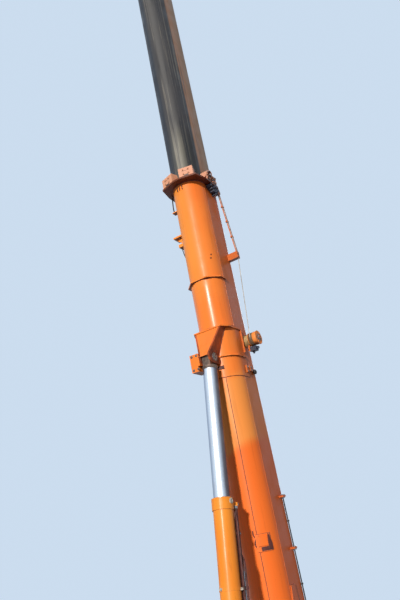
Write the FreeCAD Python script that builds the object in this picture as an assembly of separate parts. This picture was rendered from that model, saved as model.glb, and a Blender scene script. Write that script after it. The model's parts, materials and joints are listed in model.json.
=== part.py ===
import FreeCAD, Part

import math
import os

# Telescopic boom of a mobile crane with its lift cylinder, raised and part extended.
# All sizes are in millimetres. Each piece is drawn in the boom's own frame: X runs along
# the boom from its foot to its head, Y across it, and Z points to its top side. The
# origin is the foot pivot. The finished pieces are tilted up about Y when they are saved.

V = FreeCAD.Vector
ORIGIN = V(0, 0, 0)
X_AXIS = V(1, 0, 0)
Y_AXIS = V(0, 1, 0)
FAR = 20000.0               # reach of the cutting shapes, beyond every piece

# Pose of the boom
ELEVATION = 80.0            # angle of the boom above the ground, degrees
CYLINDER_ANGLE = 10.5       # angle between lift cylinder and boom, degrees

# Box sections: half-round bottom, flat side walls, rounded upper corners
BASE_WIDTH = 600.0
BASE_TOP = 442.0            # height of the top plate above the widest line
WALLS = (7.0, 6.0, 6.0)     # base, middle and tip section
TOP_CORNER = 60.0
PLATE_SEAM = 45.0           # where the keel plate of the inner sections ends, in degrees from the keel
PAD_GAP = 9.0               # free space between two nested sections
RUN_GAP = 0.3               # running clearance of a slide pad

# Stations along the boom
TAIL_X = -250.0
BASE_FRONT = 7445.0
MIDDLE_TAIL = 5650.0
MIDDLE_FRONT = 13150.0
TIP_TAIL = 5900.0

# Collars: a many-sided flange round the end of a section, and blocks that hold its pads
FLANGE_PLATE = 30.0
FLANGE_RISE = (110.0, 70.0)     # height over the base and over the middle section
HOLDER_LENGTH = 170.0
HOLDER_GAP = 8.0                # free space between a holder and the section inside it
PAD_MARGIN = 12.0               # how much shorter a pad is than its holder, at each end
# Corners of a flange's right half, from the keel up. Columns: y as shares of the section's
# half width and of the rise, then z as shares of the half width, the top height and the rise
FLANGE_CORNERS = (
    (0.2, 0.0, -1.0, 0.0, -1.25),
    (1.0, 0.5, -1.0, 0.0, -0.45),
    (1.0, 1.0, -0.2, 0.0, 0.0),
    (1.0, 1.0, 0.0, 1.0, -1.0),
    (1.0, 0.3, 0.0, 1.0, 1.0),
    (0.0, 0.0, 0.0, 1.0, 1.0),
)
# Columns: side of the flange counted up from the keel, start and end as shares of that side
HOLDERS = ((0, 0.05, 0.90), (2, 0.10, 0.42), (2, 0.58, 0.92), (4, 0.25, 0.80))

# Slide pads on the tail of a section
TAIL_PAD_LENGTH = 160.0
TAIL_PAD_INSET = 60.0
TAIL_PAD_SHARE = 0.75           # width of the top pad as a share of the section
TAIL_PAD_SIDE = (0.15, 0.60)    # low and high end of the side pads as shares of the top height

# Foot of the base section
FOOT_BORE = 60.0                # radius
FOOT_TUBE = 115.0               # outer radius
FOOT_LENGTH = 720.0
FOOT_PLATE = 16.0
TAIL_FRAME_PLATE = 20.0
TAIL_FRAME_RISE = 40.0
TAIL_FRAME_DEPTH = 100.0        # how far the tail frame reaches down from the top plate
# Outline of the doubler plates at the foot; columns: x, z
FOOT_OUTLINE = ((TAIL_X, -150), (-130, -150), (0, -205), (450, -60), (900, 40), (900, 150), (TAIL_X, 330))

# Saddle of the lift cylinder, below the base section
PIN_X = 4140.0
PIN_RADIUS = 65.0
PIN_FIT = 0.05
PIN_END = 6.0                   # how far the pin stands out at its ends
EYE_WALL = 50.0                 # wall of the rod eye round the pin
EYE_KEEL_GAP = 38.0             # free space between rod eye and keel
CHEEK_GAP = 3.0                 # free space each side of the rod eye
CHEEK_PLATE = 30.0
CHEEK_BEND = 60.0               # beyond the pin, where the cheeks begin to splay
CHEEK_SPLAY = 206.0             # half gap between the cheeks at the upper rib
SADDLE_LENGTH = 480.0           # from the pin to the upper rib
SADDLE_RISE = 52.0              # height of the saddle over the keel at the upper rib
# Corners of a cheek below the pin, seen from the pin; columns: along the boom, up
CHEEK_CORNERS = ((25, -159), (-40, -137), (-95, -82))
NOSE_PLATE = 20.0
KEEPER_WIDTH = 154.0
KEEPER_ENDS = (-180.0, 95.0)    # ends of the keeper block along the boom, from the pin
KEEPER_HEIGHTS = (-152.0, 110.0)
KEEPER_NOTCH = (98.0, 128.0)    # room for the rod: distance below the pin, half width
DOUBLER = 10.0
DOUBLER_START = 3840.0
DOUBLER_TOP = 170.0
RIB_PLATE = 20.0
# Columns: distance beyond the pin, whether it stops at the cheeks, and its right half as (y, z)
SADDLE_RIBS = (
    (SADDLE_LENGTH, False, ((246, -363), (322, -215), (322, -100), (330, 165))),
    (15.0, True, ((150, -312), (262, -228), (330, -110), (330, 165))),
)
FLAT_BAR = (380.0, 25.0, 15.0)  # bars from the upper rib down the walls: length, reach, thickness

# Small pieces on the base section
MID_RIB_X = 5510.0
MID_RIB_RISE = 26.0
MID_RIB_TOP = 60.0
MID_RIB_BEND = (0.5, -0.45)     # its two corners, as shares of the half width: y, z
BELLY_PAD = (1380.0, 1600.0, 93.0, 254.0, 14.0)     # x from, x to, y from, y to, thickness
BAR_SIZE = 28.0
BAR_FOOT_X = 5950.0
BAR_FOOT_OUT = 162.0            # distance of the guide bar from the wall at its foot
BAR_TOP_OUT = 40.0              # and at the collar
BAR_Z = 386.0
BAR_BLOCK = (120.0, 85.0)       # foot block of the bar, along and up the wall
# Brackets on the walls; columns: x, length, reach from the wall, z from, z to
LEFT_BRACKETS = ((6540, 30, 140, -130, 60), (6350, 60, 70, -110, 20), (7050, 16, 75, -120, -20))
RIGHT_BRACKETS = ((1320, 24, 70, 290, 375), (2020, 24, 70, 290, 375), (3930, 90, 40, 180, 260))
GUSSET = (110.0, 130.0, 20.0)   # gusset below the left shelf: length, reach, thickness
ROOT = 150.0                    # how deep a piece on a wall is drawn before it is cut to the wall

# Cable reel on the right wall
REEL_X = 4450.0
REEL_Z = 300.0
REEL_RADIUS = 115.0
REEL_CORE = 72.0
REEL_SIDES = 24
REEL_FLANGE = 8.0
REEL_WIDTH = 150.0
REEL_GAP = 10.0                 # free space between the reel and its housing
REEL_HOUSING = (88.0, 90.0)     # round housing on the wall: radius, length
REEL_SHAFT = 22.0
REEL_SHAFT_END = 15.0           # how far the shaft stands out of the reel
REEL_ARM = 30.0
REEL_ARM_OUT = 50.0             # distance of the arm from the wall
REEL_GUIDE = (60.0, 90.0, 80.0)     # cable guide below the reel: along, across, up

# Lift cylinder, by distance from the saddle pin along its axis
ROD_RADIUS = 114.0
ROD_FIT = 0.1
ROD_EYE_WIDTH = 126.0
EYE_SHOULDER = (118.0, 140.0, 191.0)    # round end of the rod eye: radius, start, end
EYE_SIDES = 36
NECK_SHARE = 0.85               # height of a neck as a share of what it joins
ROD_LENGTH = 2641.0             # pin to the end of the piston
PISTON_LENGTH = 140.0
PISTON_LIP = 7.0
BARREL_WALL = 13.0
BARREL_LENGTH = 2500.0
BARREL_END = 40.0
GLAND_START = 2051.0
GLAND_LENGTH = 150.0
GLAND_LIP = 12.0
GLAND_SIDES = 48
PORT_SIZE = 46.0
PORT_REACH = 54.0
PIPE_RADIUS = 24.0
PIPE_SIDES = 12
PIPE_GAP = 2.0                  # free space between the pipe and the gland
PIPE_CLAMP = (40.0, 62.0)       # clamp: along, across
PIPE_CLAMPS = (420.0, 1050.0, 1680.0, 2280.0)       # places of the clamps beyond the gland
PIPE_TURN = 45.0                # turn of port and pipe from the boom side to the right, degrees
CYLINDER_LENGTH = 4781.0        # pin to pin
FOOT_EYE_RADIUS = 125.0
FOOT_EYE_WIDTH = 180.0
FOOT_EYE_BORE = 60.0

# Boom head; places are (distance beyond the tip front, height)
HEAD_PLATE = 22.0
HEAD_BACK = 280.0               # overlap of the head plates on the tip section
HEAD_GAP = 30.0                 # free space between the head plates and the middle collar
SHEAVE_RADIUS = 225.0
SHEAVE_WIDTH = 62.0
SHEAVE_GROOVE = 34.0
SHEAVE_SIDES = 32
SHEAVE_PITCH = 130.0
SHEAVE_GAP = 14.0               # free space between upper sheave and tip section
SHAFT_RADIUS = 50.0
SHAFT_END = 12.0
LOWER_SHEAVES = 3
UPPER_SHEAVES = 1
LOWER_SHAFT = (430.0, -170.0)
UPPER_SHAFT_X = 60.0
JIB_BORE = 32.5
JIB_PAD = (50.0, 40.0)          # squared pad round a jib bore: half size, thickness
JIB_PIN = (500.0, -270.0)
# Corners of a head plate; columns: what the corner is placed from, distance beyond it, height over it
HEAD_CORNERS = (
    ("tip front", -HEAD_BACK, 62), ("tip front", -HEAD_BACK, 349), ("upper shaft", -250, -199),
    ("upper shaft", -170, 110), ("upper shaft", 130, 130), ("upper shaft", 270, -10),
    ("lower shaft", 180, 230), ("lower shaft", 180, -80), ("lower shaft", 70, -180),
    ("lower shaft", -130, -180), ("tip front", -40, -120),
)
CROSS_PLATE = 20.0
CROSS_HEIGHTS = (-120.0, 349.0)
SHELF = (250.0, 180.0)          # shelf between the sheaves: length, height over the widest line

# Sizes that follow from the ones above
KEEL = BASE_WIDTH / 2
ROD_EYE_RADIUS = PIN_RADIUS + EYE_WALL
PIN_DROP = KEEL + EYE_KEEL_GAP + ROD_EYE_RADIUS
CHEEK_INNER = ROD_EYE_WIDTH / 2 + CHEEK_GAP
SADDLE_FRONT = PIN_X + SADDLE_LENGTH
BORE_RADIUS = ROD_RADIUS + PISTON_LIP
BARREL_RADIUS = BORE_RADIUS + BARREL_WALL
GLAND_RADIUS = BARREL_RADIUS + GLAND_LIP
PIPE_OUT = GLAND_RADIUS + PIPE_GAP + PIPE_RADIUS        # distance of the pipe from the cylinder's axis
TIP_FRONT = MIDDLE_FRONT + HOLDER_LENGTH + HEAD_GAP + HEAD_BACK     # end of the tip's box, start of the head


def half_width(level):
    """Half width of the base (0), middle (1) or tip (2) section."""
    return BASE_WIDTH / 2 - sum(WALLS[:level]) - PAD_GAP * level


def top_height(level):
    return BASE_TOP - (BASE_WIDTH / 2 - half_width(level))


def corner_radius(level):
    return TOP_CORNER - (BASE_WIDTH / 2 - half_width(level)) / 2


def section_face(half, top, corner, x):
    """Face across the boom at x, bounded by a half-round bottom and a box top."""
    def at(y, z):
        return V(x, y, z)

    bend = corner * (1 - math.cos(math.pi / 4))
    edges = [
        Part.Arc(at(-half, 0), at(0, -half), at(half, 0)).toShape(),
        Part.LineSegment(at(half, 0), at(half, top - corner)).toShape(),
        Part.Arc(at(half, top - corner), at(half - bend, top - bend), at(half - corner, top)).toShape(),
        Part.LineSegment(at(half - corner, top), at(corner - half, top)).toShape(),
        Part.Arc(at(corner - half, top), at(bend - half, top - bend), at(-half, top - corner)).toShape(),
        Part.LineSegment(at(-half, top - corner), at(-half, 0)).toShape(),
    ]
    return Part.Face(Part.Wire(edges))


def prism(level, grow=0.0, x0=-FAR, x1=FAR):
    """Solid of a section's outline, grown outwards by grow, from x0 to x1."""
    half = half_width(level) + grow
    top = top_height(level) + grow
    return section_face(half, top, corner_radius(level) + grow, x0).extrude(V(x1 - x0, 0, 0))


def sleeve(level, inner, outer, x0, x1):
    """Ring that follows a section, between two offsets from its outline."""
    return prism(level, outer, x0, x1).cut(prism(level, inner))


def block(x0, x1, y0, y1, z0, z1):
    return Part.makeBox(x1 - x0, y1 - y0, z1 - z0, V(x0, y0, z0))


def across(radius, length, x, z, y=0.0):
    """Cylinder along Y, centred at y."""
    return Part.makeCylinder(radius, length, V(x, y - length / 2, z), Y_AXIS)


def below(shape, z):
    return shape.common(block(-FAR, FAR, -FAR, FAR, -FAR, z))


def above(shape, z):
    return shape.common(block(-FAR, FAR, -FAR, FAR, z, FAR))


def flat_face(corners):
    return Part.Face(Part.makePolygon(corners + corners[:1]))


def polygon(corners, sweep):
    """Solid swept from a flat outline."""
    return flat_face(corners).extrude(sweep)


def side_plate(points, y0, thickness):
    """Plate along the boom from (x, z) points."""
    return polygon([V(x, y0, z) for x, z in points], V(0, thickness, 0))


def floor_plan(points, z0, z1):
    """Solid from (x, y) points, between two heights."""
    return polygon([V(x, y, z0) for x, y in points], V(0, 0, z1 - z0))


def cross_plate(points, x0, thickness):
    """Plate across the boom from (y, z) points of its right half."""
    left = [(-y, z) for y, z in reversed(points) if y > 0]
    return polygon([V(x0, y, z) for y, z in [*points, *left]], V(thickness, 0, 0))


def regular(radius, sides, y):
    """Corners of a many-sided ring about Y."""
    turns = [2 * math.pi * index / sides for index in range(sides)]
    return [V(radius * math.cos(turn), y, radius * math.sin(turn)) for turn in turns]


def across_prism(radius, sides, length, x, z, y=0.0):
    """Many-sided bar along Y, centred at y."""
    bar = polygon(regular(radius, sides, y - length / 2), V(0, length, 0))
    bar.translate(V(x, 0, z))
    return bar


def join(shapes):
    return shapes[0].fuse(shapes[1:]).removeSplitter()


# Telescoping sections

def shells(level, x0, x1):
    """Lower and upper half of a section, which meet at the welds on its widest line."""
    tube = sleeve(level, -WALLS[level], 0, x0, x1)
    return below(tube, 0), above(tube, 0)


def bottom_plates(level, x0, x1):
    """Keel plate of an inner section, and the two plates between it and the side walls."""
    bottom = shells(level, x0, x1)[0]
    reach = FAR * math.tan(math.radians(PLATE_SEAM))
    wedge = polygon([V(x0, 0, 0), V(x0, -reach, -FAR), V(x0, reach, -FAR)], V(x1 - x0, 0, 0))
    return bottom.common(wedge), bottom.cut(wedge)


def flange_corners(level):
    """Corners (y, z) of a flange's right half, from the keel up."""
    half, top, rise = half_width(level), top_height(level), FLANGE_RISE[level]
    corners = []
    for y_half, y_rise, z_half, z_top, z_rise in FLANGE_CORNERS:
        corners.append((half * y_half + rise * y_rise, half * z_half + top * z_top + rise * z_rise))
    return corners


def side_block(level, row, mirror, low, high, x0, x1):
    """Block along one side of a flange, at two distances from the section inside it.

    With high left out, the block reaches out to the flange's own side.
    """
    corner, start, end = row
    (ya, za), (yb, zb) = flange_corners(level)[corner:corner + 2]
    along = V(0, yb - ya, zb - za)
    out = V(0, zb - za, ya - yb).normalize()
    inside = top_height(level + 1) if out.z > 0.5 else half_width(level + 1)
    edge = V(x0, ya, za)
    reach = edge.dot(out)
    top = reach if high is None else inside + high
    corners = []
    for share, distance in ((start, inside + low), (start, top), (end, top), (end, inside + low)):
        corners.append(edge + along * share + out * (distance - reach))
    for point in corners:
        point.y = point.y * mirror
    return polygon(corners, V(x1 - x0, 0, 0))


def collar(level, front):
    """Flange round the end of a section, with the blocks that hold its slide pads."""
    flange = cross_plate(flange_corners(level), front - FLANGE_PLATE, FLANGE_PLATE)
    shapes = [flange.cut(prism(level))]
    for row in HOLDERS:
        for mirror in (1, -1):
            shapes.append(side_block(level, row, mirror, HOLDER_GAP, None, front, front + HOLDER_LENGTH))
    return join(shapes)


def front_pads(level, front):
    """Slide pads in the holders of a collar, that carry the next section."""
    pads = []
    for row in HOLDERS:
        for mirror in (1, -1):
            pads.append(side_block(level, row, mirror, RUN_GAP, HOLDER_GAP,
                                   front + PAD_MARGIN, front + HOLDER_LENGTH - PAD_MARGIN))
    return Part.makeCompound(pads)


def tail_pads(level, tail):
    """Slide pads outside the tail of a section, that run in the section around it."""
    start = tail + TAIL_PAD_INSET
    end = start + TAIL_PAD_LENGTH
    ring = sleeve(level, 0, PAD_GAP - RUN_GAP, start, end)
    width = half_width(level) * TAIL_PAD_SHARE
    top = top_height(level)
    low, high = TAIL_PAD_SIDE
    cap = ring.common(block(start, end, -width, width, top, FAR))
    sides = ring.common(block(start, end, -FAR, FAR, top * low, top * high))
    return Part.makeCompound([cap] + sides.Solids)


# Base section

def foot_tube():
    return across(FOOT_TUBE, FOOT_LENGTH, 0, 0).cut(across(FOOT_BORE, FAR, 0, 0))


def foot_plates():
    """Doubler plates that carry the foot tube on the side walls."""
    hole = across(FOOT_TUBE, FAR, 0, 0)
    plates = []
    for y0 in (KEEL, -KEEL - FOOT_PLATE):
        plates.append(side_plate(FOOT_OUTLINE, y0, FOOT_PLATE).cut(hole))
    return Part.makeCompound(plates)


def tail_frame():
    side = KEEL + TAIL_FRAME_RISE
    top = BASE_TOP + TAIL_FRAME_RISE
    low = BASE_TOP - TAIL_FRAME_DEPTH
    outline = [(side, low), (side, top - TAIL_FRAME_RISE), (side - TAIL_FRAME_RISE, top)]
    return cross_plate(outline, TAIL_X, TAIL_FRAME_PLATE).cut(prism(0))


def base_shells():
    hole = across(FOOT_TUBE, FAR, 0, 0)
    return [shell.cut(hole) for shell in shells(0, TAIL_X, BASE_FRONT)]


def between_cheeks(extra):
    """Space between the cheeks, whose walls are moved outwards by extra."""
    near = CHEEK_INNER + extra
    wide = CHEEK_SPLAY + extra
    x0 = PIN_X - FAR
    bend = PIN_X + CHEEK_BEND
    points = [(x0, -near), (bend, -near), (SADDLE_FRONT, -wide), (SADDLE_FRONT, wide), (bend, near), (x0, near)]
    return floor_plan(points, -FAR, 0)


def below_pin():
    """Corners (x, z) of the cheeks below the pin."""
    return [(PIN_X + x, -PIN_DROP + z) for x, z in CHEEK_CORNERS]


def saddle_cheeks():
    """Two splayed plates below the boom that carry the lift cylinder's pin."""
    corners = below_pin()
    heel = corners[-1][0]
    outline = [(SADDLE_FRONT, 0), (SADDLE_FRONT, -KEEL - SADDLE_RISE)] + corners + [(heel, 0)]
    walls = between_cheeks(CHEEK_PLATE).cut(between_cheeks(0))
    walls = walls.common(side_plate(outline, -FAR, 2 * FAR))
    walls = walls.cut(across(PIN_RADIUS + PIN_FIT, FAR, PIN_X, -PIN_DROP))
    return walls.cut(prism(0, DOUBLER))


def saddle_ribs():
    """Plates across the bottom of the boom that carry the cheeks, with bars along the walls."""
    shapes = []
    for beyond, open_inside, outline in SADDLE_RIBS:
        rib = cross_plate(outline, PIN_X + beyond, RIB_PLATE)
        if open_inside:
            rib = rib.cut(between_cheeks(CHEEK_PLATE))
        else:
            rib = join([rib, wall_bars(outline[-1][1])])
        shapes.extend(rib.cut(prism(0, DOUBLER)).Solids)
    return Part.makeCompound(shapes)


def wall_bars(top):
    """Flat bars along both walls, from the upper rib towards the pin."""
    length, reach, thickness = FLAT_BAR
    side = KEEL + DOUBLER + reach
    return block(SADDLE_FRONT - length, SADDLE_FRONT, -side, side, top - thickness, top)


def saddle_nose():
    """Slanted plate that closes the front of the saddle between its cheeks."""
    start = (SADDLE_FRONT, -KEEL - SADDLE_RISE)
    end = below_pin()[0]
    outline = [start, end, (end[0], end[1] + NOSE_PLATE), (start[0], start[1] + NOSE_PLATE)]
    strip = side_plate(outline, -FAR, 2 * FAR)
    return strip.common(between_cheeks(0)).cut(prism(0, DOUBLER))


def saddle_doubler():
    ring = sleeve(0, 0, DOUBLER, DOUBLER_START, SADDLE_FRONT + RIB_PLATE)
    return below(ring, DOUBLER_TOP)


def saddle_pin():
    left = -CHEEK_INNER - CHEEK_PLATE - KEEPER_WIDTH - PIN_END
    right = CHEEK_INNER + CHEEK_PLATE + PIN_END
    return across(PIN_RADIUS, right - left, PIN_X, -PIN_DROP, (left + right) / 2)


def pin_keeper():
    """Block bolted to the left cheek, that holds the end of the pin."""
    inner = CHEEK_INNER + CHEEK_PLATE
    x0, x1 = [PIN_X + end for end in KEEPER_ENDS]
    z0, z1 = [-PIN_DROP + height for height in KEEPER_HEIGHTS]
    distance, half = KEEPER_NOTCH
    shape = block(x0, x1, -inner - KEEPER_WIDTH, -inner, z0, z1)
    shape = shape.cut(between_cheeks(CHEEK_PLATE))
    shape = shape.cut(block(-FAR, PIN_X - distance, -half, half, -FAR, FAR))
    return shape.cut(across(PIN_RADIUS + PIN_FIT, FAR, PIN_X, -PIN_DROP))


def mid_rib():
    side = KEEL + MID_RIB_RISE
    bend_y, bend_z = MID_RIB_BEND
    outline = [(KEEL * bend_y, -side), (side, KEEL * bend_z), (side, MID_RIB_TOP)]
    return cross_plate(outline, MID_RIB_X, RIB_PLATE).cut(prism(0))


def belly_pad():
    x0, x1, y0, y1, thickness = BELLY_PAD
    ring = sleeve(0, 0, thickness, x0, x1)
    return ring.common(block(x0, x1, y0, y1, -FAR, 0))


def guide_bar():
    """Square bar from a block on the right wall up to the collar."""
    foot = KEEL + BAR_FOOT_OUT
    top = KEEL + BAR_TOP_OUT
    end = BASE_FRONT - FLANGE_PLATE
    points = [(BAR_FOOT_X, foot), (end, top), (end, top + BAR_SIZE), (BAR_FOOT_X, foot + BAR_SIZE)]
    bar = floor_plan(points, BAR_Z, BAR_Z + BAR_SIZE)
    length, height = BAR_BLOCK
    high = BAR_Z + BAR_SIZE
    holder = block(BAR_FOOT_X, BAR_FOOT_X + length, KEEL - ROOT, foot + BAR_SIZE, high - height, high)
    return join([bar, holder]).cut(prism(0))


def wall_brackets(table, side):
    """Flat brackets on the left (-1) or right (1) wall."""
    shapes = []
    for x, length, reach, z0, z1 in table:
        inner, outer = sorted((side * (KEEL - ROOT), side * (KEEL + reach)))
        shapes.append(block(x, x + length, inner, outer, z0, z1).cut(prism(0)))
    return shapes


def left_brackets():
    shapes = wall_brackets(LEFT_BRACKETS, -1)
    x, _, _, z0, _ = LEFT_BRACKETS[0]
    length, reach, thickness = GUSSET
    points = [(x, ROOT - KEEL), (x - length, ROOT - KEEL), (x - length, -KEEL), (x, -KEEL - reach)]
    gusset = floor_plan(points, z0 / 2, z0 / 2 + thickness).cut(prism(0))
    shapes[0] = join([shapes[0], gusset])
    return Part.makeCompound(shapes)


def right_brackets():
    return Part.makeCompound(wall_brackets(RIGHT_BRACKETS, 1))


def reel_housing():
    radius, length = REEL_HOUSING
    return across_prism(radius, REEL_SIDES, length, REEL_X, REEL_Z, KEEL + length / 2)


def reel_bracket():
    """Shaft of the reel on its housing, and beside it the arm that guides the cable."""
    start = KEEL + REEL_HOUSING[1]
    length = REEL_GAP + REEL_WIDTH + REEL_SHAFT_END
    shaft = across(REEL_SHAFT, length, REEL_X, REEL_Z, start + length / 2)
    along, wide, high = REEL_GUIDE
    low = REEL_X - REEL_RADIUS - REEL_GAP - along
    y0 = KEEL + REEL_ARM_OUT
    arm = block(low, REEL_X, y0, y0 + REEL_ARM, REEL_Z - high / 2, REEL_Z)
    guide = block(low, low + along, y0, y0 + REEL_ARM + wide, REEL_Z - high / 2, REEL_Z + high / 2)
    return Part.makeCompound([shaft, join([arm, guide]).cut(reel_housing())])


def reel_drum():
    """Cable reel: two flanges on a core, turning on the bracket's shaft."""
    middle = KEEL + REEL_HOUSING[1] + REEL_GAP + REEL_WIDTH / 2
    shapes = [across_prism(REEL_CORE, REEL_SIDES, REEL_WIDTH, REEL_X, REEL_Z, middle)]
    for side in (-1, 1):
        y = middle + side * (REEL_WIDTH - REEL_FLANGE) / 2
        shapes.append(across_prism(REEL_RADIUS, REEL_SIDES, REEL_FLANGE, REEL_X, REEL_Z, y))
    return join(shapes).cut(across(REEL_SHAFT + PIN_FIT, FAR, REEL_X, REEL_Z))


# Lift cylinder, drawn along -X from the saddle pin

def place_cylinder(shape):
    shape.rotate(ORIGIN, Y_AXIS, -CYLINDER_ANGLE)
    shape.translate(V(PIN_X, 0, -PIN_DROP))
    return shape


def down(radius, start, end):
    """Cylinder along the lift cylinder's axis, from start to end below the pin."""
    return Part.makeCylinder(radius, end - start, V(-start, 0, 0), -X_AXIS)


def down_prism(radius, sides, start, end):
    """Many-sided bar along the lift cylinder's axis."""
    corners = [V(-start, corner.x, corner.z) for corner in regular(radius, sides, 0)]
    return polygon(corners, V(start - end, 0, 0))


def neck_block(x0, x1, width, radius):
    """Block that joins an eye to a round piece of the given radius."""
    high = radius * NECK_SHARE
    return block(x0, x1, -width / 2, width / 2, -high, high)


def rod_eye():
    """Flat eye with a neck and a round shoulder that takes the rod."""
    eye = across_prism(ROD_EYE_RADIUS, EYE_SIDES, ROD_EYE_WIDTH, 0, 0)
    radius, start, end = EYE_SHOULDER
    neck = neck_block(-start, 0, ROD_EYE_WIDTH, ROD_RADIUS)
    shoulder = down_prism(radius, EYE_SIDES, start, end)
    return join([eye, neck, shoulder]).cut(across(PIN_RADIUS + PIN_FIT, FAR, 0, 0))


def lift_rod():
    rod = down(ROD_RADIUS, EYE_SHOULDER[2], ROD_LENGTH)
    return rod.fuse(down(BORE_RADIUS - RUN_GAP, ROD_LENGTH - PISTON_LENGTH, ROD_LENGTH))


def lift_barrel():
    start = GLAND_START + GLAND_LENGTH
    end = GLAND_START + BARREL_LENGTH
    return down(BARREL_RADIUS, start, end).cut(down(BORE_RADIUS, 0, end - BARREL_END))


def turned(shape):
    """Turn a shape on the boom side of the cylinder to where port and pipe are."""
    shape.rotate(ORIGIN, X_AXIS, -PIPE_TURN)
    return shape


def gland():
    """Ring that closes the barrel round the rod, with the port of its oil line."""
    end = GLAND_START + GLAND_LENGTH
    ring = down_prism(GLAND_RADIUS, GLAND_SIDES, GLAND_START, end)
    middle = -(GLAND_START + end) / 2
    half = PORT_SIZE / 2
    port = block(middle - half, middle + half, -half, half, ROD_RADIUS + PISTON_LIP, GLAND_RADIUS + PORT_REACH)
    return ring.fuse(turned(port)).cut(down(ROD_RADIUS + ROD_FIT, 0, FAR))


def barrel_pipe():
    """Oil pipe along the barrel, from the gland's port to the foot, in its clamps."""
    port_end = GLAND_START + (GLAND_LENGTH + PORT_SIZE) / 2
    pipe = down_prism(PIPE_RADIUS, PIPE_SIDES, port_end, GLAND_START + PIPE_CLAMPS[-1])
    pipe.translate(V(0, 0, PIPE_OUT))
    along, wide = PIPE_CLAMP
    shapes = [pipe]
    for place in PIPE_CLAMPS:
        x = -GLAND_START - place
        shapes.append(block(x - along, x, -wide / 2, wide / 2, BORE_RADIUS, PIPE_OUT + wide / 2))
    return turned(join(shapes)).cut(down(BARREL_RADIUS, 0, FAR))


def foot_eye():
    eye = across_prism(FOOT_EYE_RADIUS, EYE_SIDES, FOOT_EYE_WIDTH, -CYLINDER_LENGTH, 0)
    neck = neck_block(-CYLINDER_LENGTH, -GLAND_START - BARREL_LENGTH, FOOT_EYE_WIDTH, FOOT_EYE_RADIUS)
    return eye.fuse(neck).cut(across(FOOT_EYE_BORE, FAR, -CYLINDER_LENGTH, 0))


# Boom head

def upper_shaft():
    return UPPER_SHAFT_X, top_height(2) + SHEAVE_GAP + SHEAVE_RADIUS


def head_outline():
    """Corners (x, z) of a head plate, round its shafts and its jib bore."""
    places = {"tip front": (0, 0), "upper shaft": upper_shaft(), "lower shaft": LOWER_SHAFT}
    corners = []
    for place, x, z in HEAD_CORNERS:
        corners.append((TIP_FRONT + places[place][0] + x, places[place][1] + z))
    return corners


def head_plates():
    """Two cheeks of the head, bored for the shafts and padded round the bores for a jib's pins."""
    inner = half_width(2)
    outer = inner + HEAD_PLATE
    points = head_outline()
    size, thickness = JIB_PAD
    x, z = TIP_FRONT + JIB_PIN[0], JIB_PIN[1]
    cheek = side_plate(points, inner, HEAD_PLATE)
    cheek = cheek.fuse(block(x - size, x + size, outer, outer + thickness, z - size, z + size))
    cheek = cheek.cut(across(JIB_BORE, FAR, x, z))
    for x, z in (LOWER_SHAFT, upper_shaft()):
        cheek = cheek.cut(across(SHAFT_RADIUS + PIN_FIT, FAR, TIP_FRONT + x, z))
    return Part.makeCompound([cheek, cheek.mirror(ORIGIN, Y_AXIS)])


def head_shafts():
    length = 2 * (half_width(2) + HEAD_PLATE + SHAFT_END)
    shafts = [across(SHAFT_RADIUS, length, TIP_FRONT + x, z) for x, z in (LOWER_SHAFT, upper_shaft())]
    return Part.makeCompound(shafts)


def head_cross_plates():
    """Plate that closes the tip, with a shelf between the sheaves."""
    half = half_width(2)
    low, high = CROSS_HEIGHTS
    length, height = SHELF
    front = block(TIP_FRONT, TIP_FRONT + CROSS_PLATE, -half, half, low, high)
    shelf = block(TIP_FRONT, TIP_FRONT + length, -half, half, height, height + CROSS_PLATE)
    return join([front, shelf])


def sheave():
    """Rope sheave about Y with a grooved rim."""
    half = SHEAVE_WIDTH / 2
    left = regular(SHEAVE_RADIUS, SHEAVE_SIDES, -half)
    groove = regular(SHEAVE_RADIUS - SHEAVE_GROOVE, SHEAVE_SIDES, 0)
    right = regular(SHEAVE_RADIUS, SHEAVE_SIDES, half)
    faces = [flat_face(left), flat_face(right)]
    for low, high in ((left, groove), (groove, right)):
        for index in range(SHEAVE_SIDES):
            faces.append(flat_face([low[index - 1], low[index], high[index], high[index - 1]]))
    wheel = Part.makeSolid(Part.makeShell(faces))
    return wheel.cut(across(SHAFT_RADIUS + PIN_FIT, FAR, 0, 0))


def head_sheaves(prefix, count, shaft):
    nodes = {}
    for index in range(count):
        wheel = sheave()
        wheel.translate(V(TIP_FRONT + shaft[0], (index - (count - 1) / 2) * SHEAVE_PITCH, shaft[1]))
        nodes["%s_%d" % (prefix, index + 1)] = wheel
    return nodes


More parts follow.
